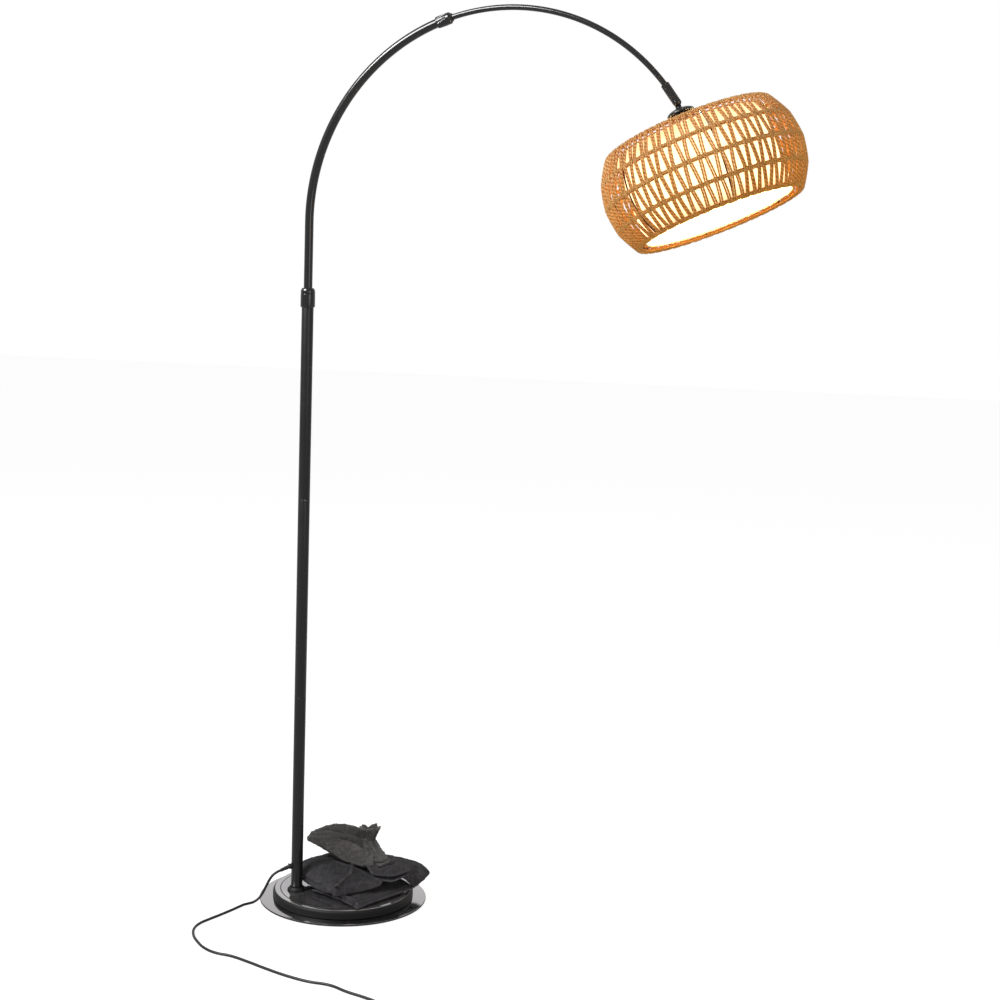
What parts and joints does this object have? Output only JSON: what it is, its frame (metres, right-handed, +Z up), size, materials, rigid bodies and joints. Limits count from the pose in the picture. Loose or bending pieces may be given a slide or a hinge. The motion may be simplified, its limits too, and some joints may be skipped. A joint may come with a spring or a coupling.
{
  "type": "floor lamp",
  "caption": "Arc floor lamp with a tilting barrel shade woven from rope, a telescopic bent arm on a jointed pole, a round weighted base with cloth ballast bags, a foot switch and a coiled lead.",
  "frame": {"origin": "On the floor, under the centre of the round base.", "axes": "+Z is up. +X is the way that the bent arm reaches from the pole. +Y is to the left of that."},
  "size_m": [1.0129, 0.6873, 1.6698],
  "materials": {
    "foam": "matt foam",
    "grey_gloss": "dark grey, gloss lacquer",
    "black_plastic": "black, satin moulded",
    "black_paint": "black, satin powder coat",
    "iron": "as cast",
    "steel": "zinc plated",
    "nylon": "natural nylon",
    "black_cloth": "charcoal woven cloth",
    "rubber": "black, satin",
    "brass": "plain",
    "porcelain": "unglazed",
    "opal_glass": "opal, lit",
    "rope": "twisted paper rope, tan",
    "brown_paint": "dark brown, satin",
    "linen": "cream lampshade fabric"
  },
  "bodies": {
    "base": {"floor_pad": "foam", "base_plate": "grey_gloss", "plate_screw_1": "steel", "plate_screw_2": "steel", "plate_screw_3": "steel", "base_weight": "iron", "base_rim": "black_plastic", "base_top_disc": "grey_gloss", "pole_foot_stud": "steel", "stud_washer": "steel", "stud_nut": "steel", "pole_foot_flange": "black_plastic", "pole_lower_section": "black_paint", "pole_middle_section": "black_paint", "pole_upper_section": "black_paint", "pole_ferrule_1": "steel", "pole_ferrule_2": "steel", "lower_collet": "nylon", "lower_ballast_bag": "black_cloth", "upper_ballast_bag": "black_cloth", "bag_flap": "black_cloth", "bag_side_fold": "black_cloth", "bag_neck": "black_cloth", "cord_strain_relief": "rubber", "mains_cord": "rubber", "cord_coil": "rubber", "foot_switch_base": "black_plastic", "foot_switch_cover": "black_plastic", "button_spring": "steel", "plug_body": "rubber", "plug_blade_left": "brass", "plug_blade_right": "brass"},
    "lower_collar": {"lower_collar": "black_plastic"},
    "slider": {"arch_slider": "nylon"},
    "arch": {"arch_tube": "black_paint", "upper_collet": "nylon"},
    "upper_collar": {"upper_collar": "black_plastic"},
    "arm": {"arm_rod": "black_paint", "rod_end_bush": "nylon", "end_sleeve": "black_paint", "pivot_screw": "steel", "pivot_nut": "steel"},
    "shade": {"tilt_tongue": "black_paint", "socket_cap": "black_paint", "lamp_holder": "black_plastic", "holder_core": "porcelain", "centre_contact": "brass", "screw_shell": "brass", "shade_clamp_ring": "black_plastic", "bulb_cap": "steel", "bulb_globe": "opal_glass", "shade_weave": "rope", "shade_spider": "brown_paint", "shade_rib_cage": "brown_paint", "shade_liner": "linen", "liner_top_ring": "brown_paint", "liner_bottom_ring": "brown_paint"},
    "button": {"switch_button": "black_plastic"}
  },
  "joints": [
    {"name": "height_slide", "type": "slide", "parent": "base", "child": "slider", "axis": [0, 0, 1], "range_m": [-0.11, 0.1]},
    {"name": "arch_swivel", "type": "hinge", "parent": "slider", "child": "arch", "pos_m": [-0.076, -0.049, 0.92], "axis": [0, 0, 1], "range_deg": [-90, 90]},
    {"name": "arm_extension", "type": "hinge", "parent": "arch", "child": "arm", "pos_m": [0.2976, -0.049, 1.2915], "axis": [0, 1, 0], "range_deg": [-40, 8]},
    {"name": "shade_tilt", "type": "hinge", "parent": "arm", "child": "shade", "pos_m": [0.60842, -0.049, 1.49879], "axis": [0, 1, 0], "range_deg": [-30, 45]},
    {"name": "lower_collar_twist", "type": "hinge", "parent": "base", "child": "lower_collar", "pos_m": [-0.076, -0.049, 1.1545], "axis": [0, 0, 1], "range_deg": [0, 120]},
    {"name": "upper_collar_twist", "type": "hinge", "parent": "arch", "child": "upper_collar", "pos_m": [0.18215, -0.049, 1.64681], "axis": [0.9511, 0, 0.309], "range_deg": [0, 120]},
    {"name": "switch_button", "type": "slide", "parent": "base", "child": "button", "axis": [0, 0, -1], "range_m": [0, 0.0025], "stiffness_N_per_m": 900, "springref_m": -0.001, "deforming": ["button_spring"]}
  ]
}
